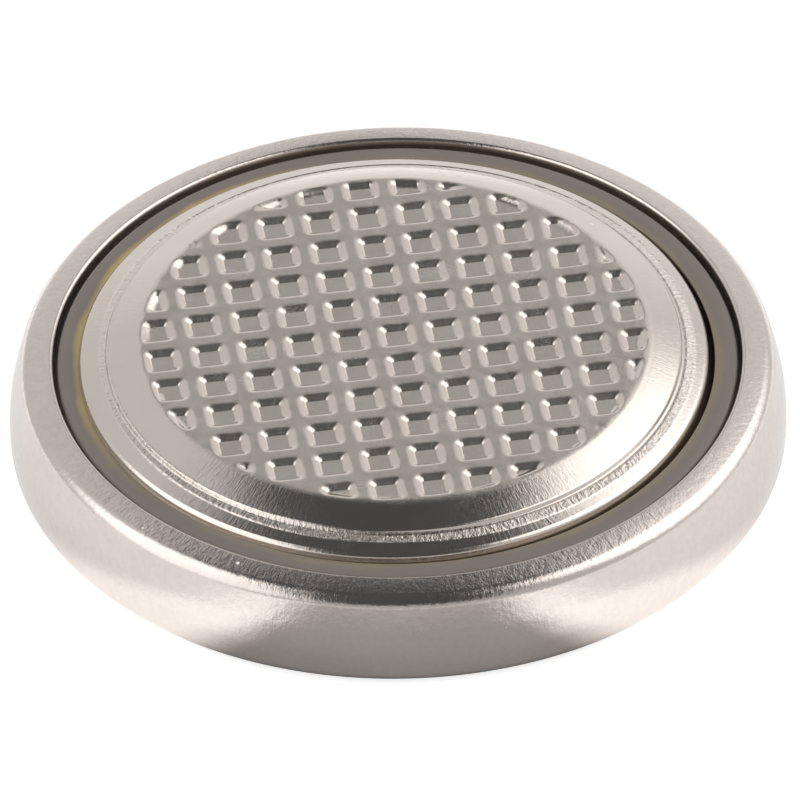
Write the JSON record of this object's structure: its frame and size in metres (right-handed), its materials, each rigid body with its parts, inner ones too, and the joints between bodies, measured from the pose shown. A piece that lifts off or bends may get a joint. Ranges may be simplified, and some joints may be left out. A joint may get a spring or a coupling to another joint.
{
  "type": "button cell battery",
  "caption": "Round lithium button cell with a crimped metal can, a seal ring and a raised lid whose contact face is pressed with small square pits.",
  "frame": {"origin": "middle of the can's flat base, on the surface that the cell lies on", "axes": "+Z along the cell's axis, out of the negative lid; X and Y along the rows of the lid's waffle pattern"},
  "size_m": [0.0125, 0.0124, 0.002],
  "materials": {
    "can_steel": "nickel-plated steel, drawn and lightly scuffed",
    "lid_steel": "satin stainless steel, pressed, with burnished ribs",
    "gasket_plastic": "smooth translucent polypropylene with a film of amber sealant",
    "lithium_foil": "soft dull foil",
    "separator_felt": "thin nonwoven felt",
    "ring_steel": "thin rolled stainless steel",
    "pellet_mix": "dense matt black pressed powder"
  },
  "bodies": {
    "root": {"cell_can": "can_steel", "negative_lid": "lid_steel", "sealing_gasket": "gasket_plastic", "lithium_disc": "lithium_foil", "separator": "separator_felt", "cathode_ring": "ring_steel", "cathode_pellet": "pellet_mix"}
  },
  "joints": []
}
